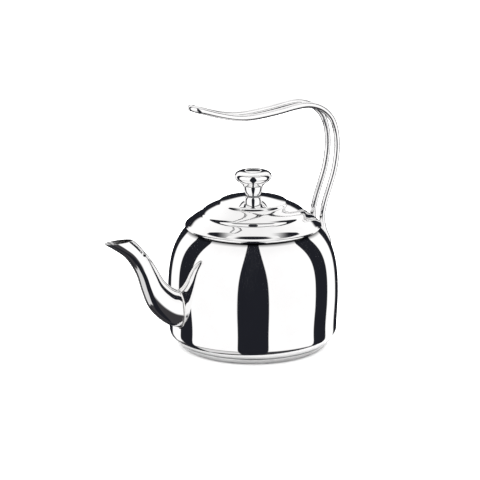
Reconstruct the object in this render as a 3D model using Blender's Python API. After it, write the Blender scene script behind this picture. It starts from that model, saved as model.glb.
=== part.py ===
"""Stovetop kettle with a short S-curved spout, a lift-off lid and a looped wire handle.

Metres, +Z up. The origin is on the body's axis, on the underside of the base.
The spout points along -X and the handle rises from the body's rear at +X.
"""
import math

import bmesh
import bpy
import numpy as np
from mathutils import Vector

MM = 0.001

# Driving dimensions
BODY_RADIUS = 80.6 * MM        # widest part of the body
CORNER_RADIUS = 11.0 * MM      # round between the body's floor and its wall
SHOULDER_START = 50.0 * MM     # height where the wall starts to lean in
SHOULDER_TOP = 113.6 * MM      # height where the shoulder meets the neck
MOUTH_RADIUS = 58.2 * MM       # clear radius of the mouth
LIP_TOP = 118.0 * MM           # top of the rolled lip round the mouth
BASE_HEIGHT = 5.2 * MM         # height of the capsule under the body
BASE_FLAT = 65.7 * MM          # radius of the flat that the kettle stands on
SHEET = 0.8 * MM               # thickness of the pressed steel
GAP = 0.3 * MM                 # space left between neighbouring pieces
LID_RADIUS = 64.3 * MM         # outside of the lid's rolled edge
LID_SEAT = 143.9 * MM          # height of the flat that the knob stands on
KNOB_RADIUS = 17.5 * MM        # widest part of the knob
KNOB_TOP = 167.6 * MM          # top rim of the knob
BORE = 2.3 * MM                # hole for the knob's screw
SCREW = 2.0 * MM               # shank of that screw
ROD = 3.0 * MM                 # radius of the handle's rod
ROD_SPREAD = 8.3 * MM          # distance of each rod from the middle plane
SPOUT_ROOT = 45.0 * MM         # height of the middle of the spout's root
HOLE = 2.2 * MM                # radius of a strainer hole
WELD = 0.6 * MM                # radius of a weld bead

ROUND = 36                     # sides of the large turned pieces
SMALL_ROUND = 24               # sides of the knob and its fittings

# Finishes: colour, roughness, metallic
POLISHED = ("polished_steel", (0.86, 0.86, 0.87), 0.05, 1.0)
SATIN = ("satin_steel", (0.74, 0.74, 0.75), 0.30, 1.0)
ALUMINIUM = ("aluminium", (0.80, 0.81, 0.82), 0.35, 1.0)
SILICONE = ("silicone", (0.12, 0.12, 0.13), 0.60, 0.0)


# ---------------------------------------------------------------- outlines

def bezier(start, pull_start, pull_end, end, count):
    """Points of a cubic curve, both ends included."""
    steps = np.linspace(0.0, 1.0, count)[:, None]
    p0, p1, p2, p3 = (np.array(p, float) for p in (start, pull_start, pull_end, end))
    rest = 1.0 - steps
    curve = (rest**3 * p0 + 3 * rest**2 * steps * p1
             + 3 * rest * steps**2 * p2 + steps**3 * p3)
    return [tuple(p) for p in curve]


def arc(centre, radius, from_deg, to_deg, count):
    """Points of a circular arc, both ends included."""
    angles = np.radians(np.linspace(from_deg, to_deg, count))
    return [(centre[0] + radius * math.cos(a), centre[1] + radius * math.sin(a)) for a in angles]


def through(points, per_span):
    """A smooth curve through points of any dimension (Catmull-Rom)."""
    p = [np.array(q, float) for q in points]
    p = [2 * p[0] - p[1]] + p + [2 * p[-1] - p[-2]]
    curve = []
    for a, b, c, d in zip(p, p[1:], p[2:], p[3:]):
        for t in np.linspace(0.0, 1.0, per_span, endpoint=False):
            curve.append(0.5 * (2 * b + (c - a) * t + (2 * a - 5 * b + 4 * c - d) * t**2
                                + (3 * b - a - 3 * c + d) * t**3))
    curve.append(p[-2])
    return curve


def offset(path, distance):
    """The path moved to its left by a distance, or to its right when negative."""
    moved = []
    for i, (x, y) in enumerate(path):
        before = path[max(i - 1, 0)]
        after = path[min(i + 1, len(path) - 1)]
        direction = Vector((after[0] - before[0], after[1] - before[1])).normalized()
        moved.append((x - direction.y * distance, y + direction.x * distance))
    return moved


def sheet_outline(path, thickness):
    """Closed outline of a pressed sheet with one face along the path."""
    return path + offset(path, thickness)[::-1]


def mm(points):
    """Points given in millimetres, in metres."""
    return [tuple(v * MM for v in p) for p in points]


# ---------------------------------------------------------------- objects

def finish_material(finish):
    name, colour, roughness, metallic = finish
    material = bpy.data.materials.get(name)
    if material is None:
        material = bpy.data.materials.new(name)
        material.use_nodes = True
        shader = material.node_tree.nodes["Principled BSDF"]
        shader.inputs["Base Color"].default_value = (*colour, 1.0)
        shader.inputs["Roughness"].default_value = roughness
        shader.inputs["Metallic"].default_value = metallic
    return material


def add_mesh(name, bm, finish):
    bmesh.ops.recalc_face_normals(bm, faces=bm.faces)
    mesh = bpy.data.meshes.new(name)
    bm.to_mesh(mesh)
    bm.free()
    mesh.shade_smooth()
    mesh.set_sharp_from_angle(angle=math.radians(40))
    mesh.materials.append(finish_material(finish))
    piece = bpy.data.objects.new(name, mesh)
    bpy.context.collection.objects.link(piece)
    return piece


def turned(name, outline, finish, steps=ROUND):
    """A body of revolution about Z. The outline runs from axis to axis, or is a closed ring."""
    bm = bmesh.new()
    verts = [bm.verts.new((r, 0.0, z)) for r, z in outline]
    edges = [bm.edges.new(pair) for pair in zip(verts, verts[1:])]
    if outline[0][0] > 0.0 or outline[-1][0] > 0.0:
        edges.append(bm.edges.new((verts[-1], verts[0])))
    bmesh.ops.spin(bm, geom=verts + edges, cent=(0, 0, 0), axis=(0, 0, 1),
                   angle=2 * math.pi, steps=steps, use_merge=True)
    bmesh.ops.remove_doubles(bm, verts=bm.verts, dist=1e-6)
    return add_mesh(name, bm, finish)


def rod(name, points, radius, finish, sides=2, closed=False):
    """A round rod along a line of points, with flat ends."""
    curve = bpy.data.curves.new(name, "CURVE")
    curve.dimensions = "3D"
    curve.bevel_depth = radius
    curve.bevel_resolution = sides
    curve.use_fill_caps = True
    spline = curve.splines.new("POLY")
    spline.points.add(len(points) - 1)
    for point, place in zip(spline.points, points):
        point.co = (*place, 1.0)
    spline.use_cyclic_u = closed
    spline.use_smooth = True
    curve.materials.append(finish_material(finish))
    piece = bpy.data.objects.new(name, curve)
    bpy.context.collection.objects.link(piece)
    return piece


# ---------------------------------------------------------------- body and base

def body_path():
    """Outer face of the body, from the middle of its floor to the inside of its lip."""
    floor = BASE_HEIGHT + GAP
    corner = BODY_RADIUS - 1.2 * MM - CORNER_RADIUS
    path = [(0.0, floor)]
    path += arc((corner, floor + CORNER_RADIUS), CORNER_RADIUS, -90, 0, 5)
    wall_start = path[-1]
    path += bezier(wall_start, (wall_start[0], 27 * MM), (BODY_RADIUS, 38 * MM),
                   (BODY_RADIUS, SHOULDER_START), 4)[1:]
    path += bezier((BODY_RADIUS, SHOULDER_START), (BODY_RADIUS, SHOULDER_START + 34 * MM),
                   (75.0 * MM, 99.6 * MM), (62.6 * MM, SHOULDER_TOP), 8)[1:]
    lip = 1.4 * MM
    lip_centre = (MOUTH_RADIUS + lip, LIP_TOP - lip)
    path += [(lip_centre[0] + lip + 0.3 * MM, 115.2 * MM)]
    path += arc(lip_centre, lip, 0, 180, 4)
    path += [(MOUTH_RADIUS, LIP_TOP - 4.5 * MM)]
    return path


def body_radius(height):
    """Outer radius of the body at a height between its corner and its neck."""
    wall = [p for p in body_path() if p[0] > MOUTH_RADIUS + 3.0 * MM]
    radii, heights = zip(*wall)
    return float(np.interp(height, heights, radii))


def strainer_cutter():
    """The holes through the body's wall behind the spout, as one cutting object."""
    bm = bmesh.new()
    pitch = 6.5 * MM
    for row in range(-2, 3):
        holes = 3 - abs(row)
        for k in range(holes):
            across = (k - (holes - 1) / 2) * pitch
            centre = Vector((-BODY_RADIUS, across, SPOUT_ROOT + row * pitch))
            made = bmesh.ops.create_cone(bm, cap_ends=True, segments=8, radius1=HOLE,
                                         radius2=HOLE, depth=10 * MM)
            turn = Vector((0, 0, 1)).rotation_difference(Vector((1, 0, 0))).to_matrix()
            bmesh.ops.rotate(bm, verts=made["verts"], matrix=turn)
            bmesh.ops.translate(bm, verts=made["verts"], vec=centre)
    cutter = add_mesh("strainer_cutter", bm, SATIN)
    cutter.hide_render = True
    cutter.display_type = "WIRE"
    return cutter


def make_body():
    shell = turned("body_shell", sheet_outline(body_path(), SHEET), POLISHED)
    holes = shell.modifiers.new("strainer", "BOOLEAN")
    holes.operation = "DIFFERENCE"
    holes.object = strainer_cutter()


def make_base():
    """The capsule: a steel cap pressed over an aluminium disc that spreads the heat."""
    cap_sheet = 0.6 * MM
    edge = 6.0 * MM
    lowest_side = math.degrees(math.asin((edge - BASE_HEIGHT + 0.2 * MM) / edge))
    path = [(0.0, 0.0)] + arc((BASE_FLAT, edge), edge, -90, -lowest_side, 5)
    turned("base_cap", sheet_outline(path, cap_sheet), SATIN)
    low = cap_sheet + GAP
    core = [(0.0, low), (BASE_FLAT, low), (BASE_FLAT + 3.4 * MM, low + 2.0 * MM),
            (BASE_FLAT + 3.4 * MM, BASE_HEIGHT), (0.0, BASE_HEIGHT)]
    turned("base_core_disc", core, ALUMINIUM)


# ---------------------------------------------------------------- spout

# Stations from the root to the mouth: the spout's under edge and upper edge in the
# middle plane (x, z), and its half width across, all in millimetres.
SPOUT_STATIONS = [
    ((-79.5, 27.0), (-79.5, 62.5), 10.8),
    ((-91.0, 31.5), (-85.5, 65.5), 9.8),
    ((-104.0, 42.0), (-91.5, 70.5), 9.2),
    ((-112.8, 53.5), (-97.0, 77.0), 8.9),
    ((-118.6, 68.0), (-102.5, 86.5), 8.6),
    ((-124.5, 86.0), (-109.0, 97.0), 8.0),
    ((-134.5, 102.0), (-116.5, 106.5), 7.6),
    ((-145.5, 111.0), (-122.5, 113.5), 7.2),
    ((-156.5, 118.3), (-128.0, 118.8), 6.9),
]
SPOUT_SHEET = 0.9 * MM


def spout_sections(per_span):
    """Smooth stations as (middle, half height vector, half width), in metres."""
    rows = through([(*low, *top, width) for low, top, width in SPOUT_STATIONS], per_span)
    sections = []
    for row in rows:
        low = Vector((row[0], 0.0, row[1])) * MM
        top = Vector((row[2], 0.0, row[3])) * MM
        sections.append(((low + top) / 2, (top - low) / 2, row[4] * MM))
    return sections


def section_edge(section, inset, side, count):
    """Half of a section's oval on one side, from its under edge to its upper edge."""
    middle, half_height, half_width = section
    height = half_height.length - inset
    up = half_height.normalized()
    width = half_width - inset
    edge = []
    for a in np.linspace(0.0, math.pi, count):
        across = side * (GAP / 2 + width * math.sin(a))
        edge.append(middle - up * height * math.cos(a) + Vector((0.0, across, 0.0)))
    return edge


def spout_half(name, side):
    """One pressed half of the spout. The halves meet in the middle plane."""
    count = 9
    sections = spout_sections(2)
    bm = bmesh.new()
    rings = []
    for i, section in enumerate(sections):
        ring = section_edge(section, 0.0, side, count)
        ring += section_edge(section, SPOUT_SHEET, side, count)[::-1]
        if i == 0:
            for p in ring:
                p.x = -math.sqrt((body_radius(p.z) + GAP)**2 - p.y**2)
        rings.append([bm.verts.new(p) for p in ring])
    size = 2 * count
    for low, high in zip(rings, rings[1:]):
        for k in range(size):
            bm.faces.new((low[k], low[(k + 1) % size], high[(k + 1) % size], high[k]))
    for ring in (rings[0], rings[-1]):
        for k in range(count - 1):
            bm.faces.new((ring[k], ring[k + 1], ring[size - 2 - k], ring[size - 1 - k]))
    add_mesh(name, bm, POLISHED)


def make_spout():
    spout_half("spout_half_left", -1)
    spout_half("spout_half_right", 1)
    low, top, half_width = SPOUT_STATIONS[0]
    reach = 1.7 * MM
    half_height = (top[1] - low[1]) / 2 * MM + reach
    bead = []
    for a in np.linspace(0.0, 2 * math.pi, 36, endpoint=False):
        y = (half_width * MM + reach) * math.sin(a)
        z = (low[1] + top[1]) / 2 * MM - half_height * math.cos(a)
        x = -math.sqrt((body_radius(z) + WELD + GAP + 0.1 * MM)**2 - y**2)
        bead.append((x, y, z))
    rod("spout_root_weld", bead, WELD, SATIN, sides=1, closed=True)


# ---------------------------------------------------------------- handle

def rod_seat(height):
    """Centre (x, z) of a rod that lies on the body's shoulder at a height."""
    step = 0.5 * MM
    slope = (body_radius(height + step) - body_radius(height - step)) / (2 * step)
    stand_off = (ROD + GAP + 0.1 * MM) / math.sqrt(1 + slope**2)
    radius = body_radius(height) + stand_off
    return math.sqrt(radius**2 - ROD_SPREAD**2), height - slope * stand_off


def handle_spine():
    """Centre line (x, z) of one rod from its welded end to where the loop closes."""
    seat = [rod_seat(h * MM) for h in (81.0, 86.0, 91.0, 96.0, 101.0)]
    free = mm([(71.9, 109.5), (71.6, 119.5), (74.4, 131.0), (78.4, 142.5),
               (84.2, 160.0), (87.2, 180.0), (85.9, 197.0), (80.6, 211.0), (69.5, 221.3),
               (55.0, 226.2), (40.0, 225.8), (23.0, 223.5), (7.0, 221.9), (-8.0, 221.2),
               (-22.0, 222.4), (-38.0, 226.2), (-57.5, 232.4)])
    return through(seat + free, 3)


def make_handle():
    spine = handle_spine()
    near = [Vector((x, -ROD_SPREAD, z)) for x, z in spine]
    far = [Vector((x, ROD_SPREAD, z)) for x, z in reversed(spine)]
    ahead = (near[-1] - near[-2]).normalized()
    middle = Vector((near[-1].x, 0.0, near[-1].z))
    loop = []
    for a in np.linspace(0.0, math.pi, 10)[1:-1]:
        across = Vector((0.0, -ROD_SPREAD * math.cos(a), 0.0))
        loop.append(middle + ahead * ROD_SPREAD * math.sin(a) + across)
    rod("handle_rod", near + loop + far, ROD, POLISHED)
    handle_weld("handle_weld_left", -1)
    handle_weld("handle_weld_right", 1)


def handle_weld(name, side):
    """A bead round the end of a rod, in the corner between the rod and the shoulder."""
    reach = 4.2 * MM
    stand_off = WELD + GAP + 0.1 * MM
    angle = math.asin(ROD_SPREAD / (body_radius(84 * MM) + ROD))
    bead = []
    up = [(1, h) for h in (89.0, 87.0, 85.0, 83.0, 81.5)]
    turn = [(math.cos(a), 79.8 - 3.2 * math.sin(a)) for a in np.linspace(0, math.pi, 7)]
    for across, height in up + turn + [(-w, h) for w, h in reversed(up)]:
        height *= MM
        radius = body_radius(height) + stand_off
        turn_by = side * angle + across * reach / radius
        bead.append((radius * math.cos(turn_by), radius * math.sin(turn_by), height))
    rod(name, bead, WELD, SATIN, sides=1)


# ---------------------------------------------------------------- lid

# Spans of the lid's upper face from its seat outwards, in millimetres: the two pulls and
# the far end of each curve, then the number of points along it. The short steep spans are
# the steps between the tiers.
LID_SPANS = [
    ((14.0, 143.3), (22.0, 141.0), (29.6, 139.6), 5),
    ((31.6, 139.2), (32.0, 138.4), (33.4, 137.1), 4),
    ((35.0, 135.8), (40.5, 133.6), (44.5, 131.3), 4),
    ((46.8, 129.9), (48.3, 128.6), (48.8, 127.6), 4),
    ((49.3, 126.6), (51.0, 125.6), (54.0, 123.9), 4),
    ((57.0, 122.2), (59.5, 120.2), (61.2, 118.5), 4),
    ((61.9, 117.8), (62.6, 117.5), (63.5, 116.9), 3),
]


def lid_path():
    """Upper face of the lid, from the screw hole over three tiers to the rolled edge."""
    seat = 6.6 * MM
    path = [(BORE, LID_SEAT), (seat, LID_SEAT)]
    for pull_start, pull_end, end, count in LID_SPANS:
        path += bezier(path[-1], *mm([pull_start, pull_end, end]), count)[1:]
    curl = 1.1 * MM
    path += arc((LID_RADIUS - curl, 115.7 * MM), curl, 25, -115, 3)
    return path


def make_lid():
    turned("lid_shell", sheet_outline(lid_path(), -SHEET), POLISHED)
    skirt = MOUTH_RADIUS - 1.6 * MM
    path = [(skirt - 5.1 * MM, 124.0 * MM), (skirt - 2.1 * MM, 122.2 * MM),
            (skirt - 0.5 * MM, 120.9 * MM), (skirt, 119.3 * MM),
            (skirt, 109.0 * MM), (skirt - 0.8 * MM, 106.5 * MM)]
    turned("lid_collar", sheet_outline(path, -SHEET), SATIN)


# ---------------------------------------------------------------- knob

GASKET = 0.4 * MM              # thickness of the ring that seals the screw's hole
STEM_LOW = LID_SEAT + GASKET + 2 * GAP
STEM_TOP = 153.7 * MM
SCREW_TOP = 164.9 * MM
NUT_SEAT = 161.4 * MM


def make_knob():
    gasket_low = LID_SEAT + GAP
    ring("knob_gasket", BORE, 6.2 * MM, gasket_low, gasket_low + GASKET, SILICONE)

    stem = [(BORE, STEM_LOW), (6.5 * MM, STEM_LOW)]
    stem += bezier((6.9 * MM, STEM_LOW + 0.4 * MM), (8.4 * MM, 147.0 * MM), (9.3 * MM, 150.0 * MM),
                   (9.5 * MM, STEM_TOP), 5)
    stem += [(BORE, STEM_TOP)]
    turned("knob_stem", stem, POLISHED, SMALL_ROUND)

    recess = 7.7 * MM
    recess_floor = KNOB_TOP - 1.8 * MM
    pocket = 4.4 * MM
    head = [(pocket, NUT_SEAT), (BORE, NUT_SEAT), (BORE, STEM_TOP + GAP)]
    head += bezier((9.9 * MM, STEM_TOP + GAP), (10.9 * MM, 156.9 * MM),
                   (KNOB_RADIUS - 0.9 * MM, 157.6 * MM), (KNOB_RADIUS, 162.4 * MM), 7)
    head += bezier((KNOB_RADIUS, 162.4 * MM), (KNOB_RADIUS, 166.4 * MM), (14.0 * MM, KNOB_TOP),
                   (recess + 0.6 * MM, KNOB_TOP), 6)[1:]
    head += [(recess, KNOB_TOP - 0.4 * MM), (recess, recess_floor), (pocket, recess_floor)]
    turned("knob_head", head, POLISHED, SMALL_ROUND)
    hexagon = 4.0 * MM
    turned("knob_nut", [(BORE, NUT_SEAT + GAP), (hexagon, NUT_SEAT + GAP),
                        (hexagon, NUT_SEAT + 3.5 * MM), (BORE, NUT_SEAT + 3.5 * MM)], SATIN, 6)

    rim = recess - GAP
    cap = [(0.0, recess_floor + GAP), (rim, recess_floor + GAP), (rim, KNOB_TOP - 0.5 * MM),
           (rim - 0.6 * MM, KNOB_TOP), (0.0, KNOB_TOP + 0.3 * MM)]
    turned("knob_cap", cap, POLISHED, SMALL_ROUND)

    washer_top = LID_SEAT - SHEET - GAP
    washer_low = washer_top - 0.9 * MM
    ring("knob_washer", BORE, 6.0 * MM, washer_low, washer_top, SATIN)
    lock_top = washer_low - GAP
    lock_low = lock_top - 0.9 * MM
    ring("knob_lock_washer", BORE, 3.6 * MM, lock_low, lock_top, SATIN)
    head_top = lock_low - GAP
    head_low = head_top - 2.4 * MM
    socket = 2.0 * MM
    screw = [(0.0, head_low + 1.4 * MM), (socket, head_low + 1.4 * MM), (socket, head_low),
             (3.3 * MM, head_low), (4.0 * MM, head_low + 0.9 * MM), (4.0 * MM, head_top),
             (SCREW, head_top), (SCREW, SCREW_TOP), (0.0, SCREW_TOP)]
    turned("knob_screw", screw, SATIN, SMALL_ROUND)


def ring(name, inner, outer, low, high, finish):
    turned(name, [(inner, low), (outer, low), (outer, high), (inner, high)], finish, SMALL_ROUND)


# ---------------------------------------------------------------- the kettle

for old in list(bpy.data.objects):
    bpy.data.objects.remove(old, do_unlink=True)

make_body()
make_base()
make_spout()
make_handle()
make_lid()
make_knob()
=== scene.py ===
"""Looks of a stovetop kettle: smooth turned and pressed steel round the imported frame.

The frame's boxes give the main radii and heights. The finer outlines, the spout and the
handle are numbers in the frame's own coordinates. The body, base, lid and knob are turned
about the Z axis, the spout is lofted in two pressed halves, and the handle is one swept rod.
"""

import math

import bmesh
import bpy
import numpy as np
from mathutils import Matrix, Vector


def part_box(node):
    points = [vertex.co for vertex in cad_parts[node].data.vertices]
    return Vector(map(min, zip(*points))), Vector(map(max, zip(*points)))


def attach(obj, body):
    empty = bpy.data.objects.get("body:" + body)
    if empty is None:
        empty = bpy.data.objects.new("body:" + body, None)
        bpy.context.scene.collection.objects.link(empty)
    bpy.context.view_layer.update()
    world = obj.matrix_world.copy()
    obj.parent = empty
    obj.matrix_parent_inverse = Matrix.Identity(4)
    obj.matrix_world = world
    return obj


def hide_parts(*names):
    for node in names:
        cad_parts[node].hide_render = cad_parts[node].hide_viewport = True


MM = 0.001

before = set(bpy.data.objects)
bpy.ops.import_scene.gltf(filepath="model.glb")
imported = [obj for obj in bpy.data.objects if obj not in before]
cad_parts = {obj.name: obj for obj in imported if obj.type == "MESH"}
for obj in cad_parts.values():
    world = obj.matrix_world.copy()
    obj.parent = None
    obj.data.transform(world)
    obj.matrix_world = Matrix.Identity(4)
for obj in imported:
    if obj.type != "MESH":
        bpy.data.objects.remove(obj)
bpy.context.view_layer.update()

# Boxes read from the frame
body_low, body_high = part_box("body_shell")
collar_low, collar_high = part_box("lid_collar")
head_low, head_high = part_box("knob_head")
stem_low, stem_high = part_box("knob_stem")

# Sizes the frame's boxes do not give
SHEET = 0.8 * MM               # thickness of the pressed steel
CORNER_RADIUS = 11.0 * MM      # round between the body's floor and its wall
SHOULDER_START = 50.0 * MM     # height where the wall starts to lean in
SHOULDER_TOP = (62.6 * MM, 113.6 * MM)  # radius and height where it meets the neck
LIP = 1.4 * MM                 # radius of the rolled lip round the mouth
BASE_EDGE = 6.0 * MM           # round between the base's flat and its side
LID_CURL = 1.1 * MM            # radius of the lid's rolled edge
BORE = 2.15 * MM               # hole for the knob's screw
ROD = 3.0 * MM                 # radius of the handle's rod
SPOUT_SHEET = 0.9 * MM         # thickness of the spout's halves
HOLE = 2.2 * MM                # radius of a strainer hole
HOLE_PITCH = 6.5 * MM
TURNS = 160                    # steps round a large turned piece
SMALL_TURNS = 96               # steps round a small one

# Radii and heights taken from the boxes
BODY_RADIUS = body_high[1]
BODY_FLOOR = body_low[2]
CORNER = BODY_RADIUS - 1.2 * MM - CORNER_RADIUS    # where the floor's flat ends
LIP_TOP = body_high[2]
MOUTH_RADIUS = collar_high[1] + 1.6 * MM
BASE_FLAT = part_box("base_cap")[1][0] - 5.9 * MM
LID_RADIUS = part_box("lid_shell")[1][1]
LID_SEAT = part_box("knob_gasket")[0][2] - 0.3 * MM
KNOB_RADIUS = head_high[1]
KNOB_TOP = head_high[2]
ROD_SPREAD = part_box("handle_rod")[1][1] - ROD      # from the middle plane to each rod


# ---------------------------------------------------------------- outlines

def mm(points):
    """Points given in millimetres, in metres."""
    return [tuple(v * MM for v in p) for p in points]


def bezier(start, pull_start, pull_end, end, count=24):
    """Points of a cubic curve, both ends included."""
    t = np.linspace(0.0, 1.0, count)[:, None]
    p0, p1, p2, p3 = (np.array(p, float) for p in (start, pull_start, pull_end, end))
    curve = (1 - t)**3 * p0 + 3 * (1 - t)**2 * t * p1 + 3 * (1 - t) * t**2 * p2 + t**3 * p3
    return [tuple(p) for p in curve]


def arc(centre, radius, from_deg, to_deg, count=16):
    """Points of a circular arc, both ends included."""
    angles = np.radians(np.linspace(from_deg, to_deg, count))
    return [(centre[0] + radius * math.cos(a), centre[1] + radius * math.sin(a)) for a in angles]


def through(points, per_span):
    """A smooth curve through points of any dimension (Catmull-Rom)."""
    p = [np.array(q, float) for q in points]
    p = [2 * p[0] - p[1]] + p + [2 * p[-1] - p[-2]]
    curve = []
    for a, b, c, d in zip(p, p[1:], p[2:], p[3:]):
        for t in np.linspace(0.0, 1.0, per_span, endpoint=False):
            curve.append(0.5 * (2 * b + (c - a) * t + (2 * a - 5 * b + 4 * c - d) * t**2
                                + (3 * b - a - 3 * c + d) * t**3))
    curve.append(p[-2])
    return np.array(curve)


def softened(path, blur, spacing=0.2 * MM):
    """The path at an even spacing with its kinks rounded off. Its ends stay where they are."""
    path = np.array(path, float)
    run = np.concatenate([[0.0], np.cumsum(np.linalg.norm(np.diff(path, axis=0), axis=1))])
    even = np.linspace(0.0, run[-1], max(int(run[-1] / spacing), 8) + 1)
    points = np.stack([np.interp(even, run, path[:, k]) for k in range(path.shape[1])], axis=1)
    reach = min(max(int(3 * blur / spacing), 1), len(points) - 1)
    kernel = np.exp(-0.5 * (np.arange(-reach, reach + 1) * spacing / blur)**2)
    kernel /= kernel.sum()
    before = 2 * points[0] - points[1:reach + 1][::-1]
    after = 2 * points[-1] - points[-reach - 1:-1][::-1]
    long = np.concatenate([before, points, after])
    return np.stack([np.convolve(long[:, k], kernel, "valid") for k in range(long.shape[1])],
                    axis=1)


def thinned(path, turn_deg=4.0, longest=4.0 * MM):
    """The path with points left out where it is nearly straight."""
    kept = [0]
    turned_by = 0.0
    steps = np.diff(path, axis=0)
    headings = np.unwrap(np.arctan2(steps[:, 1], steps[:, 0]))
    for i in range(1, len(path) - 1):
        turned_by += abs(headings[i] - headings[i - 1])
        far = np.linalg.norm(path[i + 1] - path[kept[-1]]) > longest
        if turned_by > math.radians(turn_deg) or far:
            kept.append(i)
            turned_by = 0.0
    kept.append(len(path) - 1)
    return path[kept]


def normals_left(path):
    """Unit normals on the left of a plane path."""
    along = np.gradient(path, axis=0)
    along /= np.linalg.norm(along, axis=1)[:, None]
    return np.stack([-along[:, 1], along[:, 0]], axis=1)


def sheet_outline(path, thickness, blur=0.35 * MM):
    """Closed outline of a pressed sheet with one face along the path and rounded cut edges."""
    fine = softened(path, blur)
    side = normals_left(fine) * thickness
    near = thinned(np.concatenate([fine, fine + side], axis=1))
    face, back = near[:, :2], near[:, 2:]
    outline = [tuple(p) for p in face]
    if face[-1][0] > 0.0:
        outline += rounded_edge(face[-2], face[-1], back[-1])
    outline += [tuple(p) for p in back[::-1]]
    if face[0][0] > 0.0:
        outline += rounded_edge(back[1], back[0], face[0])
    return outline


def rounded_edge(inner, edge, other):
    """Points round the cut edge of a sheet, from one face to the other."""
    middle = (edge + other) / 2
    out = edge - inner
    out /= np.linalg.norm(out)
    half = (edge - other) / 2
    reach = out * np.linalg.norm(half)
    return [tuple(middle + half * math.cos(a) + reach * math.sin(a) * 0.8)
            for a in np.linspace(0.0, math.pi, 7)[1:-1]]


def solid_outline(path, blur=0.25 * MM):
    """Outline of a solid turned piece with its corners eased."""
    return [tuple(p) for p in thinned(softened(path, blur, 0.1 * MM))]


# ---------------------------------------------------------------- mesh tools

def add_mesh(name, bm, sharp_deg=50):
    """A smooth-shaded piece, sharp where its faces turn by more than an angle."""
    bmesh.ops.recalc_face_normals(bm, faces=bm.faces)
    mesh = bpy.data.meshes.new(name)
    bm.to_mesh(mesh)
    bm.free()
    mesh.shade_smooth()
    mesh.set_sharp_from_angle(angle=math.radians(sharp_deg))
    piece = bpy.data.objects.new(name, mesh)
    bpy.context.collection.objects.link(piece)
    return piece


def turned(name, outline, steps=TURNS):
    """A body of revolution about Z. The outline runs from axis to axis, or is a closed ring."""
    bm = bmesh.new()
    verts = [bm.verts.new((max(r, 0.0), 0.0, z)) for r, z in outline]
    edges = [bm.edges.new(pair) for pair in zip(verts, verts[1:])]
    if outline[0][0] > 1e-6 or outline[-1][0] > 1e-6:
        edges.append(bm.edges.new((verts[-1], verts[0])))
    bmesh.ops.spin(bm, geom=verts + edges, cent=(0, 0, 0), axis=(0, 0, 1),
                   angle=2 * math.pi, steps=steps, use_merge=True)
    bmesh.ops.remove_doubles(bm, verts=bm.verts, dist=1e-6)
    return add_mesh(name, bm)


def grid_piece(name, rings, loop=False):
    """A closed tube of rings of points. Its ends are capped, or it closes on itself."""
    bm = bmesh.new()
    rows = [[bm.verts.new(p) for p in ring] for ring in rings]
    pairs = list(zip(rows, rows[1:])) + ([(rows[-1], rows[0])] if loop else [])
    for low, high in pairs:
        for k in range(len(low)):
            after = (k + 1) % len(low)
            bm.faces.new((low[k], low[after], high[after], high[k]))
    if not loop:
        bm.faces.new(rows[0][::-1])
        bm.faces.new(rows[-1])
    return add_mesh(name, bm)


def swept(name, path, radii, sides):
    """A round rod of changing radius along a 3-D path, with domed ends."""
    path = np.array(path)
    along = np.gradient(path, axis=0)
    along /= np.linalg.norm(along, axis=1)[:, None]
    side = np.cross(along[0], (0.0, 1.0, 0.0))
    side /= np.linalg.norm(side)
    rings = []
    angles = np.linspace(0.0, 2 * math.pi, sides, endpoint=False)
    for place, heading, radius in zip(path, along, radii):
        side = side - heading * np.dot(side, heading)
        side /= np.linalg.norm(side)
        across = np.cross(heading, side)
        rings.append([place + radius * (side * math.cos(a) + across * math.sin(a))
                      for a in angles])
    rings = dome(rings[0], path[0], -along[0], radii[0])[::-1] + rings
    rings += dome(rings[-1], path[-1], along[-1], radii[-1])
    return grid_piece(name, rings)


def dome(ring, centre, outward, radius):
    """Rings that round off the end of a rod."""
    made = []
    for a in np.radians((25, 50, 70, 84)):
        made.append([centre + (p - centre) * math.cos(a) + outward * radius * math.sin(a)
                     for p in ring])
    return made


def bevel(piece, width, segments=3, angle=50):
    """Rounds the piece's sharp edges."""
    edge = piece.modifiers.new("edge", "BEVEL")
    edge.width = width
    edge.segments = segments
    edge.limit_method = "ANGLE"
    edge.angle_limit = math.radians(angle)
    return piece


def cut(piece, cutter):
    """Takes the cutter's shape out of the piece for good."""
    hole = piece.modifiers.new("cut", "BOOLEAN")
    hole.operation = "DIFFERENCE"
    hole.object = cutter
    graph = bpy.context.evaluated_depsgraph_get()
    mesh = bpy.data.meshes.new_from_object(piece.evaluated_get(graph))
    piece.modifiers.clear()
    old = piece.data
    piece.data = mesh
    bpy.data.meshes.remove(old)
    bpy.data.objects.remove(cutter, do_unlink=True)
    mesh.shade_smooth()
    mesh.set_sharp_from_angle(angle=math.radians(50))


def mark(piece, name, amounts):
    """Stores a number per vertex: "inside" is 1 for satin, the painted-shade mark 1 for painted
    crevice shade.
    """
    layer = piece.data.attributes.new(name, "FLOAT", "POINT")
    layer.data.foreach_set("value", [float(amount) for amount in amounts])


def mark_by_place(piece, name, amount_at):
    mark(piece, name, [amount_at(v.co) for v in piece.data.vertices])


def share(value, full, none):
    """1 at full, 0 at none, and in proportion between them."""
    return min(max((value - none) / (full - none), 0.0), 1.0)


# ---------------------------------------------------------------- materials

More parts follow.
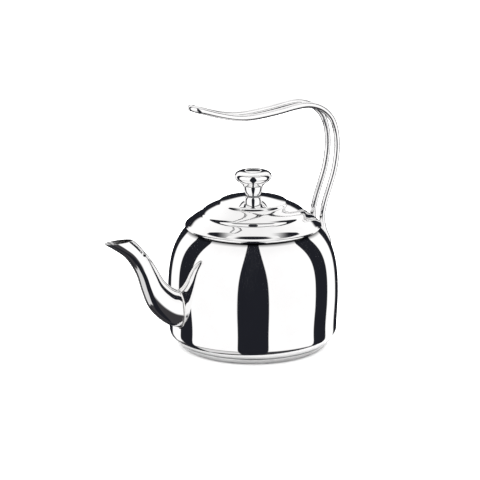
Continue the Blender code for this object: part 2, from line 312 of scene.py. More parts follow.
class Nodes:
    """Short ways to add shader nodes to a tree."""

    def __init__(self, tree):
        self.tree = tree

    def add(self, kind, inputs=(), **settings):
        node = self.tree.nodes.new(kind)
        for key, value in settings.items():
            setattr(node, key, value)
        for key, value in dict(inputs).items():
            self.feed(node.inputs[key], value)
        return node

    def feed(self, socket, value):
        if isinstance(value, bpy.types.NodeSocket):
            self.tree.links.new(value, socket)
        else:
            socket.default_value = value

    def math(self, operation, *values):
        node = self.add("ShaderNodeMath", operation=operation)
        for socket, value in zip(node.inputs, values):
            self.feed(socket, value)
        return node.outputs[0]

    def times(self, first, *others):
        """The product of all the values."""
        for value in others:
            first = self.math("MULTIPLY", first, value)
        return first

    def noise(self, vector, scale, detail=2.0, roughness=0.5):
        node = self.add("ShaderNodeTexNoise", {"Vector": vector, "Scale": scale, "Detail": detail,
                                               "Roughness": roughness})
        return node.outputs["Fac"]

    def ramp(self, value, low, high, to_low=0.0, to_high=1.0):
        """Maps low..high of a value to to_low..to_high, with a smooth step."""
        node = self.add("ShaderNodeMapRange", {"Value": value}, interpolation_type="SMOOTHSTEP")
        for key, number in (("From Min", low), ("From Max", high),
                            ("To Min", to_low), ("To Max", to_high)):
            node.inputs[key].default_value = number
        return node.outputs["Result"]

    def fall(self, value, low, high):
        """1 up to low and 0 from high on, with a smooth step."""
        return self.ramp(value, low, high, 1.0, 0.0)

    def mix(self, fac, a, b):
        """Colour a where the factor is 0 and b where it is 1."""
        node = self.add("ShaderNodeMix", data_type="RGBA")
        for socket, value in zip((node.inputs[0], node.inputs[6], node.inputs[7]), (fac, a, b)):
            self.feed(socket, value)
        return node.outputs[2]

    def stretched(self, vector, scale):
        node = self.add("ShaderNodeMapping", {"Vector": vector})
        node.inputs["Scale"].default_value = scale
        return node.outputs["Vector"]

    def round_the_axis(self, vector, around, across):
        """Coordinates for marks that run round the Z axis: long round it, fine across."""
        parts = self.add("ShaderNodeSeparateXYZ", {"Vector": vector}).outputs
        radius = self.math("SQRT", self.math("ADD", self.times(parts["X"], parts["X"]),
                                             self.times(parts["Y"], parts["Y"])))
        angle = self.math("ARCTAN2", parts["Y"], parts["X"])
        joined = self.add("ShaderNodeCombineXYZ", {
            "X": self.times(radius, across),
            "Y": self.times(self.math("SINE", angle), around),
            "Z": self.times(parts["Z"], across)})
        return joined.outputs["Vector"]


def new_material(name):
    material = bpy.data.materials.new(name)
    material.use_nodes = True
    nodes = Nodes(material.node_tree)
    shader = material.node_tree.nodes["Principled BSDF"]
    place = nodes.add("ShaderNodeTexCoord").outputs["Object"]
    return material, nodes, shader, place


def polished_steel(name, waviness=1.0, turned_marks=0.0, dullness=0.0):
    """Mirror-polished steel, satin where "inside" is 1, painted near black as crevice shade where
    the shade mark is 1.
    """
    material, nodes, shader, place = new_material(name)
    inside = nodes.add("ShaderNodeAttribute", attribute_name="inside").outputs["Fac"]
    painted_shade = nodes.add("ShaderNodeAttribute", attribute_name="painted_shade").outputs["Fac"]
    cloud = nodes.noise(place, 34.0, 3.0)
    smear = nodes.noise(nodes.stretched(place, (90.0, 90.0, 22.0)), 1.0, 4.0, 0.6)
    hairline = nodes.noise(nodes.round_the_axis(place, 7.0, 1500.0), 1.0, 2.0)
    colour = nodes.mix(nodes.ramp(cloud, 0.35, 0.65),
                       (0.920, 0.918, 0.918, 1), (0.955, 0.952, 0.952, 1))
    colour = nodes.mix(inside, colour, (0.70, 0.70, 0.70, 1))
    # painted shade: near black where the shade mark is 1, standing in for the shadow in the
    # crevice under the lid's rolled edge
    colour = nodes.mix(painted_shade, colour, (0.03, 0.03, 0.035, 1))
    nodes.feed(shader.inputs["Base Color"], colour)
    polish = nodes.ramp(smear, 0.3, 0.75, 0.012 + dullness, 0.045 + dullness)
    satin = nodes.ramp(hairline, 0.25, 0.75, 0.20, 0.34)
    rough = nodes.math("ADD", nodes.times(polish, nodes.math("SUBTRACT", 1.0, inside)),
                       nodes.times(satin, inside))
    nodes.feed(shader.inputs["Roughness"], rough)
    shader.inputs["Metallic"].default_value = 1.0
    waves = nodes.add("ShaderNodeBump", {"Height": nodes.noise(place, 16.0, 1.0),
                                         "Strength": 1.0, "Distance": 0.00012 * waviness})
    marks = nodes.math("ADD", inside, turned_marks)
    fine = nodes.add("ShaderNodeBump", {
        "Height": nodes.times(hairline, marks), "Strength": 1.0,
        "Distance": 0.000006, "Normal": waves.outputs["Normal"]})
    nodes.feed(shader.inputs["Normal"], fine.outputs["Normal"])
    return material


def satin_steel(name, colour, low_rough, high_rough, depth=0.000012):
    """Steel with fine marks that run round the axis, as a lathe or a brush leaves them."""
    material, nodes, shader, place = new_material(name)
    lines = nodes.noise(nodes.round_the_axis(place, 5.0, 1900.0), 1.0, 3.0)
    broad = nodes.noise(nodes.round_the_axis(place, 2.0, 260.0), 1.0, 2.0)
    worn = nodes.noise(place, 60.0, 4.0, 0.6)
    dark = tuple(c * 0.86 for c in colour) + (1,)
    light = tuple(min(c * 1.06, 1.0) for c in colour) + (1,)
    nodes.feed(shader.inputs["Base Color"], nodes.mix(nodes.ramp(broad, 0.3, 0.7), dark, light))
    rough = nodes.math("ADD", nodes.ramp(lines, 0.25, 0.75, low_rough, high_rough),
                       nodes.times(worn, 0.06))
    nodes.feed(shader.inputs["Roughness"], rough)
    shader.inputs["Metallic"].default_value = 1.0
    bump = nodes.add("ShaderNodeBump", {"Height": nodes.math("ADD", lines, broad),
                                        "Strength": 1.0, "Distance": depth})
    nodes.feed(shader.inputs["Normal"], bump.outputs["Normal"])
    return material


def weld_steel(name):
    """Ground-back weld: slightly rippled and a little duller than the sheet."""
    material, nodes, shader, place = new_material(name)
    ripple = nodes.noise(place, 900.0, 2.0)
    tone = nodes.noise(place, 220.0, 3.0)
    nodes.feed(shader.inputs["Base Color"],
               nodes.mix(tone, (0.80, 0.79, 0.77, 1), (0.93, 0.93, 0.92, 1)))
    nodes.feed(shader.inputs["Roughness"], nodes.ramp(tone, 0.3, 0.7, 0.06, 0.16))
    shader.inputs["Metallic"].default_value = 1.0
    bump = nodes.add("ShaderNodeBump", {"Height": ripple, "Strength": 1.0, "Distance": 0.00003})
    nodes.feed(shader.inputs["Normal"], bump.outputs["Normal"])
    return material


def silicone(name):
    """Moulded silicone: dark, matt, with a fine even grain."""
    material, nodes, shader, place = new_material(name)
    grain = nodes.noise(place, 2600.0, 2.0)
    dust = nodes.noise(place, 180.0, 4.0, 0.6)
    nodes.feed(shader.inputs["Base Color"],
               nodes.mix(dust, (0.10, 0.10, 0.105, 1), (0.16, 0.16, 0.165, 1)))
    nodes.feed(shader.inputs["Roughness"], nodes.ramp(grain, 0.3, 0.7, 0.50, 0.68))
    bump = nodes.add("ShaderNodeBump", {"Height": grain, "Strength": 0.6, "Distance": 0.00003})
    nodes.feed(shader.inputs["Normal"], bump.outputs["Normal"])
    return material


def finish(piece, body, nodes, material):
    """Gives a piece its material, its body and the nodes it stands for."""
    piece.data.materials.clear()
    piece.data.materials.append(material)
    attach(piece, body)
    if nodes:
        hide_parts(*nodes)


# ---------------------------------------------------------------- body and base

def body_path():
    """Outer face of the body, from the middle of its floor to the inside of its lip."""
    path = [(0.0, BODY_FLOOR)]
    path += arc((CORNER, BODY_FLOOR + CORNER_RADIUS), CORNER_RADIUS, -90, 0)
    wall = path[-1]
    path += bezier(wall, (wall[0], 27 * MM), (BODY_RADIUS, 38 * MM),
                   (BODY_RADIUS, SHOULDER_START))[1:]
    path += bezier((BODY_RADIUS, SHOULDER_START), (BODY_RADIUS, 84 * MM), (75.0 * MM, 99.6 * MM),
                   SHOULDER_TOP)[1:]
    centre = (MOUTH_RADIUS + LIP, LIP_TOP - LIP)
    path += [(centre[0] + LIP + 0.3 * MM, 115.2 * MM)]
    path += arc(centre, LIP, 0, 180)
    path += [(MOUTH_RADIUS, LIP_TOP - 4.5 * MM)]
    return path


WALL = [p for p in softened(body_path(), 0.35 * MM) if p[0] > MOUTH_RADIUS + 3.0 * MM]


def body_radius(height):
    """Outer radius of the body at a height."""
    radii, heights = zip(*WALL)
    return float(np.interp(height, heights, radii))


def body_slope(height):
    """How fast the body's radius grows with height."""
    return (body_radius(height + 0.5 * MM) - body_radius(height - 0.5 * MM)) / MM


def on_body(y, height, off):
    """The point at -X on the body's outside at (y, height), moved off it along its normal."""
    slope = body_slope(height)
    length = math.sqrt(1 + slope**2)
    radius = body_radius(height) + off / length
    x = -math.sqrt(radius**2 - y**2)
    return Vector((x, y, height - off * slope / length))


def strainer_cutter():
    """The holes through the body's wall behind the spout."""
    bm = bmesh.new()
    middle = 45 * MM
    quarter = Vector((0, 0, 1)).rotation_difference(Vector((1, 0, 0))).to_matrix()
    for row in range(-2, 3):
        holes = 3 - abs(row)
        for k in range(holes):
            across = (k - (holes - 1) / 2) * HOLE_PITCH
            made = bmesh.ops.create_cone(bm, cap_ends=True, segments=24, radius1=HOLE,
                                         radius2=HOLE, depth=10 * MM)
            bmesh.ops.rotate(bm, verts=made["verts"], matrix=quarter)
            bmesh.ops.translate(bm, verts=made["verts"],
                                vec=(-BODY_RADIUS, across, middle + row * HOLE_PITCH))
    return add_mesh("strainer_cutter", bm)


def make_body(mirror):
    shell = turned("body", sheet_outline(body_path(), SHEET))
    cut(shell, strainer_cutter())
    half = SHEET / 2

    def inside(co):
        radius = math.hypot(co.x, co.y)
        if co.z > LIP_TOP - LIP or co.z < BODY_FLOOR + half:
            return 0.0
        if co.z < BODY_FLOOR + CORNER_RADIUS:
            from_corner = Vector((max(radius - CORNER, 0.0), co.z - BODY_FLOOR - CORNER_RADIUS))
            return from_corner.length < CORNER_RADIUS - half
        return radius < body_radius(min(co.z, 114 * MM)) - half

    # painted shade on the body just under the lid's rolled edge, in the crevice between them
    def neck(co):
        on_neck = 113.0 * MM < co.z < 115.4 * MM
        return on_neck and share(math.hypot(co.x, co.y), 62.6 * MM, 63.9 * MM)

    mark_by_place(shell, "inside", inside)
    mark_by_place(shell, "painted_shade", neck)
    finish(shell, "kettle", ["body_shell"], mirror)


def make_base(satin, aluminium):
    """The pressed cap under the kettle, with shallow rings in its flat."""
    path = [(0.0, 0.5 * MM), (9.0 * MM, 0.5 * MM), (10.5 * MM, 0.0)]
    for ring in (24.0 * MM, 40.0 * MM, 54.0 * MM):
        path += [(ring - 1.6 * MM, 0.0), (ring - 0.8 * MM, 0.4 * MM), (ring + 0.8 * MM, 0.4 * MM),
                 (ring + 1.6 * MM, 0.0)]
    path += arc((BASE_FLAT, BASE_EDGE), BASE_EDGE, -90, -9)
    cap = turned("base", sheet_outline(path, 0.6 * MM))
    finish(cap, "kettle", ["base_cap"], satin)
    core_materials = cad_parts["base_core_disc"].data.materials
    core_materials.clear()
    core_materials.append(aluminium)


# ---------------------------------------------------------------- spout

# Stations from the root to the mouth: the spout's under edge and upper edge in the
# middle plane (x, z), and its half width across, all in millimetres.
SPOUT_STATIONS = [
    ((-79.5, 27.0), (-79.5, 62.5), 10.8),
    ((-91.0, 31.5), (-85.5, 65.5), 9.8),
    ((-104.0, 42.0), (-91.5, 70.5), 9.2),
    ((-112.8, 53.5), (-97.0, 77.0), 8.9),
    ((-118.6, 68.0), (-102.5, 86.5), 8.6),
    ((-124.5, 86.0), (-109.0, 97.0), 8.0),
    ((-134.5, 102.0), (-116.5, 106.5), 7.6),
    ((-145.5, 111.0), (-122.5, 113.5), 7.2),
    ((-156.5, 118.3), (-128.0, 118.8), 6.9),
]


def spout_sections():
    """Smooth stations as (middle, half height vector, half width), in metres."""
    rows = through([(*low, *top, width) for low, top, width in SPOUT_STATIONS], 14)
    rows = softened(rows, 3.0, 0.7) * MM
    sections = []
    for x0, z0, x1, z1, width in rows:
        low, top = Vector((x0, 0, z0)), Vector((x1, 0, z1))
        sections.append(((low + top) / 2, (top - low) / 2, width))
    return sections


def section_edge(section, inset, side, count):
    """Half of a section's oval on one side, from its under edge to its upper edge."""
    middle, half_height, half_width = section
    height = half_height.length - inset
    up = half_height.normalized()
    width = half_width - inset
    edge = []
    for a in np.linspace(0.0, math.pi, count):
        across = side * (0.02 * MM + width * math.sin(a))
        edge.append(middle - up * height * math.cos(a) + Vector((0.0, across, 0.0)))
    return edge


def spout_half(name, side, sections):
    """One pressed half of the spout, with a rounded rim at the mouth."""
    count = 37
    bm = bmesh.new()
    rings = []
    for i, section in enumerate(sections):
        ring = section_edge(section, 0.0, side, count)
        ring += section_edge(section, SPOUT_SHEET, side, count)[::-1]
        if i == 0:
            for p in ring:
                p.x = on_body(p.y, p.z, 0.05 * MM).x
        rings.append([bm.verts.new(p) for p in ring])
    size = 2 * count
    for low, high in zip(rings, rings[1:]):
        for k in range(size):
            bm.faces.new((low[k], low[(k + 1) % size], high[(k + 1) % size], high[k]))
    for ring in (rings[0], rings[-1]):
        for k in range(count - 1):
            bm.faces.new((ring[k], ring[k + 1], ring[size - 2 - k], ring[size - 1 - k]))
    half = bevel(add_mesh(name, bm), 0.28 * MM)
    mark(half, "inside", [i % size >= count for i in range(size * len(rings))])
    return half


def make_spout(mirror, weld):
    sections = spout_sections()
    for name, side in (("spout_half_left", -1), ("spout_half_right", 1)):
        half = spout_half(name + "_skin", side, sections)
        finish(half, "kettle", [name], mirror)
    finish(spout_seam("spout_seam_back", sections, 1), "kettle", [], weld)
    finish(spout_seam("spout_seam_belly", sections, -1), "kettle", [], weld)
    finish(root_fillet(), "kettle", ["spout_root_weld"], weld)


def spout_seam(name, sections, side):
    """The ground-back weld line where the two halves meet: a low, narrow ridge."""
    half_width, rise, sunk = 0.85 * MM, 0.16 * MM, 0.35 * MM
    edge = np.array([middle + half * side for middle, half, width in sections[3:-3]])
    along = np.gradient(edge, axis=0)
    along /= np.linalg.norm(along, axis=1)[:, None]
    rings = []
    for i, (place, heading) in enumerate(zip(edge, along)):
        out = np.cross(heading, (0.0, 1.0, 0.0)) * side
        taper = min(1.0, i / 6.0, (len(edge) - 1 - i) / 6.0) * 0.98 + 0.02
        ring = []
        for a in np.linspace(0.0, 2 * math.pi, 16, endpoint=False):
            lift = (rise * taper if math.sin(a) > 0 else sunk) * math.sin(a)
            across = half_width * taper * math.cos(a)
            ring.append(place + np.array((0.0, across, 0.0)) + out * lift)
        rings.append(ring)
    return grid_piece(name, rings)


def root_fillet():
    """The weld between spout and body, dressed to a smooth hollow fillet."""
    low, top, half_width = SPOUT_STATIONS[0]
    half_height = (top[1] - low[1]) / 2 * MM
    centre = (top[1] + low[1]) / 2 * MM
    reach, depth = 1.5 * MM, 1.3 * MM
    off_wall, into_spout = 0.03 * MM, -0.3 * MM

    def oval(a, grow, off):
        y = (half_width * MM + grow) * math.sin(a)
        z = centre - (half_height + grow) * math.cos(a)
        return on_body(y, z, off)

    rings = []
    for a in np.linspace(0.0, 2 * math.pi, 96, endpoint=False):
        foot = oval(a, reach, off_wall)
        pull = oval(a, 0.25 * MM, 0.22 * MM)
        wall = oval(a, 0.05 * MM, depth)
        ring = [foot]
        for t in np.linspace(0.0, 1.0, 7)[1:-1]:
            ring.append(foot * (1 - t)**2 + pull * 2 * t * (1 - t) + wall * t**2)
        ring += [wall, oval(a, into_spout, depth), oval(a, into_spout, off_wall)]
        rings.append(ring)
    return grid_piece("spout_root_fillet", rings, loop=True)


# ---------------------------------------------------------------- handle

# Where each rod lies on the body's shoulder: its height and its radius, in millimetres.
HANDLE_SEAT = [(80.5, 1.3), (82.5, 1.9), (85.0, 2.5), (88.0, 2.9), (91.0, 3.0), (96.0, 3.0),
               (101.0, 3.0)]

# The rod's centre line (x, z) from there up, over the lid and to the loop, in millimetres.
HANDLE_LINE = [
    (71.9, 109.5), (71.6, 119.5), (74.4, 131.0), (78.4, 142.5), (84.2, 160.0), (87.2, 180.0),
    (85.9, 197.0), (80.6, 211.0), (69.5, 221.3), (55.0, 226.2), (40.0, 225.8), (23.0, 223.5),
    (7.0, 221.9), (-8.0, 221.2), (-22.0, 222.4), (-38.0, 226.2), (-57.5, 232.4)]


def rod_seat(height, radius):
    """Centre (x, z) of a rod of a radius that lies on the body's shoulder at a height."""
    slope = body_slope(height)
    stand_off = (radius + 0.05 * MM) / math.sqrt(1 + slope**2)
    out = body_radius(height) + stand_off
    return math.sqrt(out**2 - ROD_SPREAD**2), height - slope * stand_off


def handle_spine():
    """Centre line (x, z) and radius of one rod, from its tapered end to the loop."""
    seat = []
    for height, radius in HANDLE_SEAT:
        x, z = rod_seat(height * MM, radius * MM)
        seat.append((x, z, radius * MM))
    free = [(x, z, 3.0) for x, z in HANDLE_LINE]
    return through(seat + mm(free), 10)


def make_handle(mirror, weld):
    spine = handle_spine()
    near = [(x, -ROD_SPREAD, z, r) for x, z, r in spine]
    far = [(x, ROD_SPREAD, z, r) for x, z, r in spine[::-1]]
    end = Vector((spine[-1][0], 0.0, spine[-1][1]))
    ahead = (end - Vector((spine[-3][0], 0.0, spine[-3][1]))).normalized()
    loop = []
    for a in np.linspace(0.0, math.pi, 30)[1:-1]:
        place = end + ahead * ROD_SPREAD * math.sin(a)
        loop.append((place.x, -ROD_SPREAD * math.cos(a), place.z, ROD))
    line = softened(near + loop + far, 2.2 * MM, 1.1 * MM)
    handle = swept("handle", line[:, :3], line[:, 3], 32)
    finish(handle, "kettle", ["handle_rod"], mirror)
    for name, side in (("handle_weld_left", -1), ("handle_weld_right", 1)):
        finish(rod_fillet(name + "_fillet", side), "kettle", [name], weld)


def rod_fillet(name, side):
    """A thin bead round the rod's seat, in the corner between the rod and the shoulder."""
    lean = math.asin(ROD_SPREAD / (body_radius(84 * MM) + ROD))
    run = [(2.3, 99.0), (2.3, 94.0), (2.25, 89.0), (2.0, 85.5), (1.7, 82.5)]
    tip = [(1.5 * math.cos(a), 80.6 - 1.9 * math.sin(a)) for a in np.linspace(0, math.pi, 9)]
    other = [(-w, h) for w, h in run[::-1]]
    line = softened(mm(run + tip + other), 0.5 * MM, 0.5 * MM)
    path = []
    for across, height in line:
        radius = body_radius(height) + 0.12 * MM
        angle = side * lean + across / radius
        path.append((radius * math.cos(angle), radius * math.sin(angle), height))
    from_end = np.minimum(np.arange(len(path)), np.arange(len(path))[::-1])
    radii = 0.62 * MM * np.clip(from_end / 8.0, 0.25, 1.0)
    return swept(name, path, radii, 14)


# ---------------------------------------------------------------- lid

# Spans of the lid's upper face from its seat outwards, in millimetres: the two pulls and
# the far end of each curve. The short steep spans are the steps between the tiers.
LID_SPANS = [
    ((14.0, 143.3), (22.0, 141.0), (29.6, 139.6)),
    ((31.6, 139.2), (32.0, 138.4), (33.4, 137.1)),
    ((35.0, 135.8), (40.5, 133.6), (44.5, 131.3)),
    ((46.8, 129.9), (48.3, 128.6), (48.8, 127.6)),
    ((49.3, 126.6), (51.0, 125.6), (54.0, 123.9)),
    ((57.0, 122.2), (59.5, 120.2), (61.2, 118.5)),
    ((61.9, 117.8), (62.6, 117.5), (63.5, 116.9)),
]


def lid_path():
    """Upper face of the lid, from the screw hole over three tiers to the rolled edge."""
    path = [(BORE, LID_SEAT), (6.6 * MM, LID_SEAT)]
    for span in LID_SPANS:
        path += bezier(path[-1], *mm(span))[1:]
    path += arc((LID_RADIUS - LID_CURL, 115.7 * MM), LID_CURL, 25, -115)
    return path


def make_lid(mirror, satin):
    path = lid_path()
    shell = turned("lid", sheet_outline(path, -SHEET, 0.45 * MM))
    rim = LID_RADIUS - 2.0 * MM
    radii, heights = zip(*[p for p in path if p[0] < rim])

    def inside(co):
        radius = math.hypot(co.x, co.y)
        return radius < rim and co.z < np.interp(radius, radii, heights) - 0.45 * MM

    mark_by_place(shell, "inside", inside)
    # painted shade on the underside of the lid's rolled edge, over the crevice by the body
    mark_by_place(shell, "painted_shade", lambda co: share(co.z, 114.8 * MM, 115.7 * MM))
    finish(shell, "lid", ["lid_shell"], mirror)

    skirt = collar_high[1]
    top = collar_high[2] + 0.2 * MM
    path = [(skirt - 5.1 * MM, top), (skirt - 2.1 * MM, top - 1.8 * MM),
            (skirt - 0.5 * MM, top - 3.1 * MM), (skirt, top - 4.8 * MM),
            (skirt, 109.0 * MM), (skirt - 0.8 * MM, collar_low[2])]
    collar = turned("collar", sheet_outline(path, -SHEET, 0.5 * MM))
    finish(collar, "lid", ["lid_collar"], satin)


# ---------------------------------------------------------------- knob

def make_knob(mirror, plain, rubber):
    low, stem_top = stem_low[2] - 0.15 * MM, stem_high[2]
    stem = [(BORE, low), (6.5 * MM, low)]
    stem += bezier((6.9 * MM, low + 0.5 * MM), (8.4 * MM, 147.0 * MM), (9.3 * MM, 150.0 * MM),
                   (9.5 * MM, stem_top))
    stem += [(BORE, stem_top), (BORE, low)]
    finish(turned("stem", solid_outline(stem), SMALL_TURNS), "lid", ["knob_stem"],
           mirror)

    recess, pocket = 7.7 * MM, 4.4 * MM
    recess_floor = KNOB_TOP - 1.8 * MM
    nut_seat = 161.4 * MM
    widest = (KNOB_RADIUS, 162.4 * MM)
    head = [(pocket, nut_seat), (BORE, nut_seat), (BORE, head_low[2])]
    head += bezier((9.9 * MM, head_low[2]), (10.9 * MM, 156.9 * MM),
                   (KNOB_RADIUS - 0.9 * MM, 157.6 * MM), widest)
    head += bezier(widest, (KNOB_RADIUS, 166.4 * MM), (14.0 * MM, KNOB_TOP),
                   (recess + 0.6 * MM, KNOB_TOP))[1:]
    head += [(recess, KNOB_TOP - 0.4 * MM), (recess, recess_floor), (pocket, recess_floor),
             (pocket, nut_seat)]
    finish(turned("head", solid_outline(head), SMALL_TURNS), "lid", ["knob_head"],
           mirror)

    rim = recess - 0.12 * MM
    cap = [(0.0, recess_floor + 0.1 * MM), (rim, recess_floor + 0.1 * MM),
           (rim, KNOB_TOP - 0.5 * MM), (rim - 0.6 * MM, KNOB_TOP)]
    cap += arc((0.0, KNOB_TOP + 0.3 * MM - 90 * MM), 90 * MM, 85.7, 90)
    finish(turned("cap", solid_outline(cap, 0.15 * MM), SMALL_TURNS), "lid", ["knob_cap"],
           mirror)

    make_ring("gasket", "knob_gasket", 0.2 * MM, rubber)
    make_ring("washer", "knob_washer", 0.0, plain)
    make_lock_washer(plain)
    make_nut(plain)
    make_screw(plain)


def make_ring(name, node, swell, material):
    """A flat ring with eased edges, as large as its frame node and thicker by a swell."""
    low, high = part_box(node)
    bottom, top = low[2] - swell, high[2] + swell / 2
    outline = [(BORE, bottom), (high[1], bottom), (high[1], top), (BORE, top), (BORE, bottom)]
    finish(turned(name, solid_outline(outline, 0.12 * MM), SMALL_TURNS), "lid", [node],
           material)


def make_lock_washer(plain):
    """A split spring washer: one turn of square wire that climbs a little."""
    low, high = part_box("knob_lock_washer")
    half = (high[2] - low[2]) / 2 - 0.12 * MM
    middle = (low[2] + high[2]) / 2
    rings = []
    for t in np.linspace(0.0, 1.0, 61):
        a = math.radians(8) + t * math.radians(344)
        lift = (t - 0.5) * 0.24 * MM
        ring = []
        for r, z in ((BORE + 0.1 * MM, -half), (high[1], -half), (high[1], half),
                     (BORE + 0.1 * MM, half)):
            ring.append((r * math.cos(a), r * math.sin(a), middle + z + lift))
        rings.append(ring)
    piece = bevel(grid_piece("lock_washer", rings), 0.08 * MM, 2)
    finish(piece, "lid", ["knob_lock_washer"], plain)


def make_nut(plain):
    """A six-sided nut with chamfered corners."""
    low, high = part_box("knob_nut")
    across = (high[0] - low[0]) / 2
    bm = bmesh.new()
    rows = []
    for z in (low[2], high[2]):
        rows.append([bm.verts.new((across * math.cos(a), across * math.sin(a), z))
                     for a in np.radians(np.arange(0, 360, 60))])
    bm.faces.new(rows[0][::-1])
    bm.faces.new(rows[1])
    for k in range(6):
        bm.faces.new((rows[0][k], rows[0][(k + 1) % 6], rows[1][(k + 1) % 6], rows[1][k]))
    nut = add_mesh("nut", bm, 20)
    bore = turned("nut_bore", [(0.0, low[2] - MM), (BORE, low[2] - MM), (BORE, high[2] + MM),
                               (0.0, high[2] + MM)], 48)
    cut(nut, bore)
    bevel(nut, 0.18 * MM, 2, 40)
    finish(nut, "lid", ["knob_nut"], plain)


def make_screw(plain):
    """A pan-head screw with a cross recess and a threaded end."""
    low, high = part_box("knob_screw")
    radius = high[1]
    head = 2.4 * MM
    shank = 1.95 * MM
    thread_start, pitch = 156.0 * MM, 0.7 * MM
    outline = [(0.0, low[2])]
    outline += bezier((1.5 * MM, low[2]), (3.2 * MM, low[2]), (radius, low[2] + 0.5 * MM),
                      (radius, low[2] + 1.5 * MM))
    outline += [(radius, low[2] + head), (shank, low[2] + head), (shank, thread_start)]
    z = thread_start
    while z < high[2] - pitch:
        outline += [(shank - 0.3 * MM, z + 0.2 * pitch), (shank, z + 0.5 * pitch),
                    (shank, z + 0.6 * pitch), (shank - 0.3 * MM, z + 0.9 * pitch)]
        z += pitch
    outline += [(shank - 0.4 * MM, high[2]), (0.0, high[2])]
    screw = turned("screw", outline, 48)
    bm = bmesh.new()
    long, wide, tall = 3.6, 0.75, 2.4      # one bar of the cross, in millimetres
    for size in ((long, wide, tall), (wide, long, tall)):
        made = bmesh.ops.create_cube(bm, size=1.0)
        bmesh.ops.scale(bm, verts=made["verts"], vec=Vector(size) * MM)
        bmesh.ops.translate(bm, verts=made["verts"], vec=(0, 0, low[2]))
    cross = add_mesh("cross", bm, 20)
    joined = cross.modifiers.new("join", "REMESH")
    joined.mode = "VOXEL"
    joined.voxel_size = 0.12 * MM
    cut(screw, cross)
    finish(screw, "lid", ["knob_screw"], plain)


# ---------------------------------------------------------------- studio

CAMERA_AZIMUTH = -30.0         # the spout's side is turned this far towards the camera
CAMERA_ELEVATION = 15.8
CAMERA_DISTANCE = 2.3
CAMERA_LENS = 183.0
AIM_HEIGHT = 0.1004            # the point looked at: its height, and how far it lies
AIM_LEFT = 0.0123              # left of the kettle's axis

FLOOR_RADIUS = 6.0
PATCH_RADIUS = 88.0 * MM
PATCH_SHIFT = 8.0 * MM         # towards the handle

PLAIN_LIGHT = 2.6              # strength of the light on all that is not a reflection
TENT_WHITE = (1.085, 1.08, 1.08, 1)
UNDER_TENT = (0.046, 0.044, 0.048, 1)
GAP_DARK = (0.0145, 0.0155, 0.021, 1)


def make_camera():
    a, e = math.radians(CAMERA_AZIMUTH), math.radians(CAMERA_ELEVATION)
    back = Vector((math.sin(a) * math.cos(e), -math.cos(a) * math.cos(e), math.sin(e)))
    right = Vector((math.cos(a), math.sin(a), 0.0))
    aim = Vector((0.0, 0.0, AIM_HEIGHT)) - right * AIM_LEFT
    data = bpy.data.cameras.new("camera")
    data.lens = CAMERA_LENS
    data.sensor_width = 36.0
    camera = bpy.data.objects.new("camera", data)
    camera.location = aim + back * CAMERA_DISTANCE
    camera.rotation_mode = "QUATERNION"
    camera.rotation_quaternion = (-back).to_track_quat("-Z", "Y")
    bpy.context.collection.objects.link(camera)
    bpy.context.scene.camera = camera


def floor_disc(name, radius, height, albedo):
    """A round sheet of matt floor whose tone varies a little."""
    material, nodes, shader, place = new_material(name)
    tones = [(albedo + change,) * 3 + (1,) for change in (-0.005, 0.005)]
    nodes.feed(shader.inputs["Base Color"], nodes.mix(nodes.noise(place, 3.0), *tones))
    shader.inputs["Roughness"].default_value = 0.9
    shader.inputs["Specular IOR Level"].default_value = 0.0
    bm = bmesh.new()
    bmesh.ops.create_circle(bm, cap_ends=True, segments=96, radius=radius)
    disc = add_mesh(name, bm)
    disc.location.z = height
    disc.data.materials.append(material)
    return disc


def make_floor():
    """A plain pale floor, and a darker copy of it, seen only as a reflection, with painted shade
    for the floor under the kettle.
    """
    floor = floor_disc("floor", FLOOR_RADIUS, -0.4 * MM, 0.96)
    floor.visible_glossy = False
    # painted shade: the same floor at a lower albedo, so the steel reflects it as shaded
    patch = floor_disc("floor_patch", PATCH_RADIUS, -0.2 * MM, 0.58)
    patch.location.x = PATCH_SHIFT
    patch.visible_camera = patch.visible_diffuse = patch.visible_shadow = False


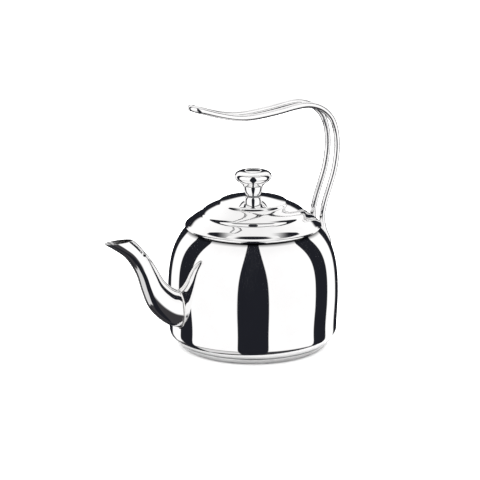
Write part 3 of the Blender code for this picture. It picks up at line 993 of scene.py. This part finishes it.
def make_world():
    """Plain white light, and in the steel a white tent with dark gaps.

    The gaps are in front, high over the front, at both sides and low behind. Places in the
    tent are in degrees: turn is the angle from straight in front, rise the angle above the
    horizon.
    """
    world = bpy.data.worlds.new("studio")
    world.use_nodes = True
    bpy.context.scene.world = world
    tree = world.node_tree
    nodes = Nodes(tree)
    direction = nodes.add("ShaderNodeTexCoord").outputs["Generated"]
    parts = nodes.add("ShaderNodeSeparateXYZ", {"Vector": direction}).outputs
    a = math.radians(CAMERA_AZIMUTH)
    front = nodes.math("ADD", nodes.times(parts["X"], math.sin(a)),
                       nodes.times(parts["Y"], -math.cos(a)))
    right = nodes.math("ADD", nodes.times(parts["X"], math.cos(a)),
                       nodes.times(parts["Y"], math.sin(a)))
    to_deg = 180.0 / math.pi
    turn = nodes.times(nodes.math("ABSOLUTE", nodes.math("ARCTAN2", right, front)), to_deg)
    rise = nodes.times(nodes.math("ARCSINE", parts["Z"]), to_deg)

    # the gap in front narrows upwards, and ends before the top
    narrowing = nodes.math("ADD", turn, nodes.ramp(rise, -20.0, 55.0, 0.0, 6.5))
    front_gap = nodes.times(nodes.fall(narrowing, 20.8, 22.0), nodes.fall(rise, 66.0, 80.0))
    # the gap over the front is a rectangle in a flat ceiling at height 1
    height = nodes.math("MAXIMUM", parts["Z"], 0.02)
    ahead = nodes.math("DIVIDE", front, height)
    aside = nodes.math("DIVIDE", nodes.math("ABSOLUTE", right), height)
    top_gap = nodes.times(nodes.ramp(ahead, 0.05, 0.10), nodes.fall(ahead, 0.26, 0.31),
                          nodes.fall(aside, 0.55, 0.62))
    side_gap = nodes.times(nodes.ramp(turn, 91.8, 93.2), nodes.fall(turn, 118.8, 120.2),
                           nodes.fall(rise, 55.0, 75.0))
    back_gap = nodes.times(nodes.ramp(turn, 145.0, 148.0), nodes.fall(rise, 15.0, 21.0))
    dark = nodes.math("MAXIMUM", nodes.math("MAXIMUM", front_gap, top_gap),
                      nodes.math("MAXIMUM", side_gap, back_gap))
    # the tent ends below the horizon, but for the table's edge low on the left
    table = nodes.times(nodes.ramp(rise, -58.0, -54.0), nodes.fall(rise, -36.0, -33.0),
                        nodes.ramp(right, -0.02, 0.04, 0.66, 0.0),
                        nodes.fall(turn, 100.0, 106.0))
    light = nodes.times(nodes.math("MAXIMUM", nodes.ramp(rise, -34.0, -27.0), table),
                        nodes.ramp(rise, 30.0, 70.0, 1.0, 0.88))
    tent = nodes.mix(light, UNDER_TENT, TENT_WHITE)
    seen = nodes.mix(dark, tent, GAP_DARK)
    path = nodes.add("ShaderNodeLightPath").outputs
    mirror = nodes.add("ShaderNodeBackground", {"Color": seen, "Strength": 1.0})
    plain = nodes.add("ShaderNodeBackground", {"Color": (1, 1, 1, 1), "Strength": PLAIN_LIGHT})
    both = nodes.add("ShaderNodeMixShader", {"Fac": path["Is Glossy Ray"]})
    tree.links.new(plain.outputs[0], both.inputs[1])
    tree.links.new(mirror.outputs[0], both.inputs[2])
    output = next(n for n in tree.nodes if n.type == "OUTPUT_WORLD")
    tree.links.new(both.outputs[0], output.inputs["Surface"])


def make_studio():
    make_camera()
    make_floor()
    make_world()
    bpy.context.scene.view_settings.view_transform = "Standard"


# ---------------------------------------------------------------- the kettle

mirror_steel = polished_steel("mirror_steel")
turned_steel = polished_steel("turned_mirror_steel", waviness=0.5, turned_marks=0.15)
rod_steel = polished_steel("rod_steel", waviness=0.7, dullness=0.06)
satin = satin_steel("satin_steel", (0.80, 0.80, 0.80), 0.22, 0.38)
plain_steel = satin_steel("fastener_steel", (0.66, 0.66, 0.67), 0.24, 0.40, 0.000006)
aluminium = satin_steel("aluminium", (0.80, 0.81, 0.82), 0.30, 0.45)
weld = weld_steel("dressed_weld")
rubber = silicone("silicone")

make_body(mirror_steel)
make_base(satin, aluminium)
make_spout(mirror_steel, weld)
make_handle(rod_steel, weld)
make_lid(turned_steel, satin)
make_knob(turned_steel, plain_steel, rubber)
make_studio()
